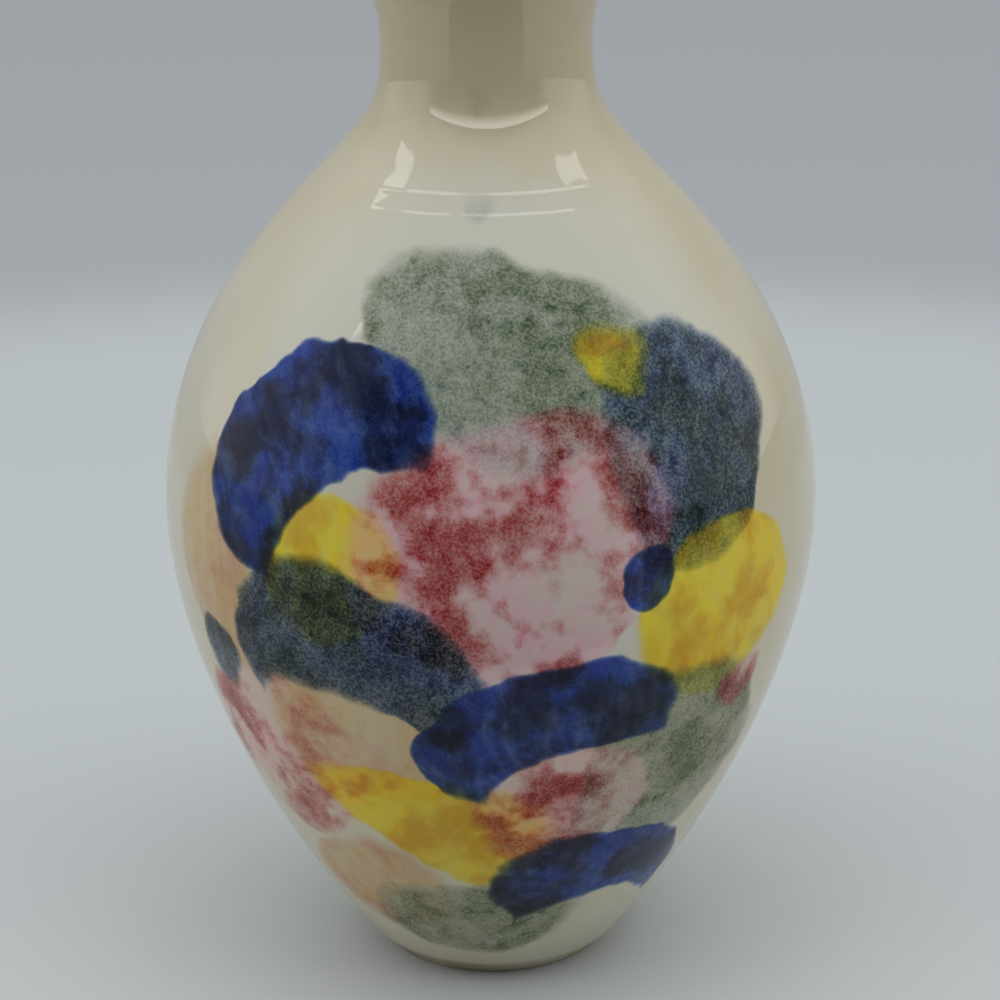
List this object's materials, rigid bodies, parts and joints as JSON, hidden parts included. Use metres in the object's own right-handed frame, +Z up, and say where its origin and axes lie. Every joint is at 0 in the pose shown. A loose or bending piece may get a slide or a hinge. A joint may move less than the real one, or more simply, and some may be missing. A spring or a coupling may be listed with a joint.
{
  "type": "pottery vase",
  "caption": "Ovoid glazed pottery vase with a narrow neck, a flared lip and a turned foot ring, painted on one side with soft overlapping colour washes; it holds flowers.",
  "frame": {"origin": "middle of the foot, on the surface that the vase stands on", "axes": "+Z up along the axis of the vase; the painted side faces -Y; +X is to the right seen from that side"},
  "size_m": [0.12, 0.12, 0.19],
  "materials": {
    "bare_clay": "matt fired clay",
    "slip": "matt fired slip",
    "cream_glaze": "glossy cream glaze with fine speckle",
    "lining_glaze": "glossy cream lining",
    "rose_wash": "glossy in-glaze colour, mottled",
    "cobalt_wash": "glossy in-glaze colour, mottled",
    "yellow_wash": "glossy in-glaze colour, mottled",
    "sage_wash": "glossy in-glaze colour, mottled",
    "slate_wash": "glossy in-glaze colour, mottled",
    "ochre_wash": "glossy in-glaze colour, mottled"
  },
  "bodies": {
    "root": {"foot_ring": "bare_clay", "foot_slip": "slip", "lower_bowl": "bare_clay", "belly_slip": "slip", "shoulder_dome": "bare_clay", "neck_slip": "slip", "neck_collar": "bare_clay", "outer_glaze": "cream_glaze", "lining_glaze": "lining_glaze", "rose_wash": "rose_wash", "cobalt_wash": "cobalt_wash", "yellow_wash": "yellow_wash", "sage_wash": "sage_wash", "slate_wash": "slate_wash", "ochre_wash": "ochre_wash"}
  },
  "joints": []
}
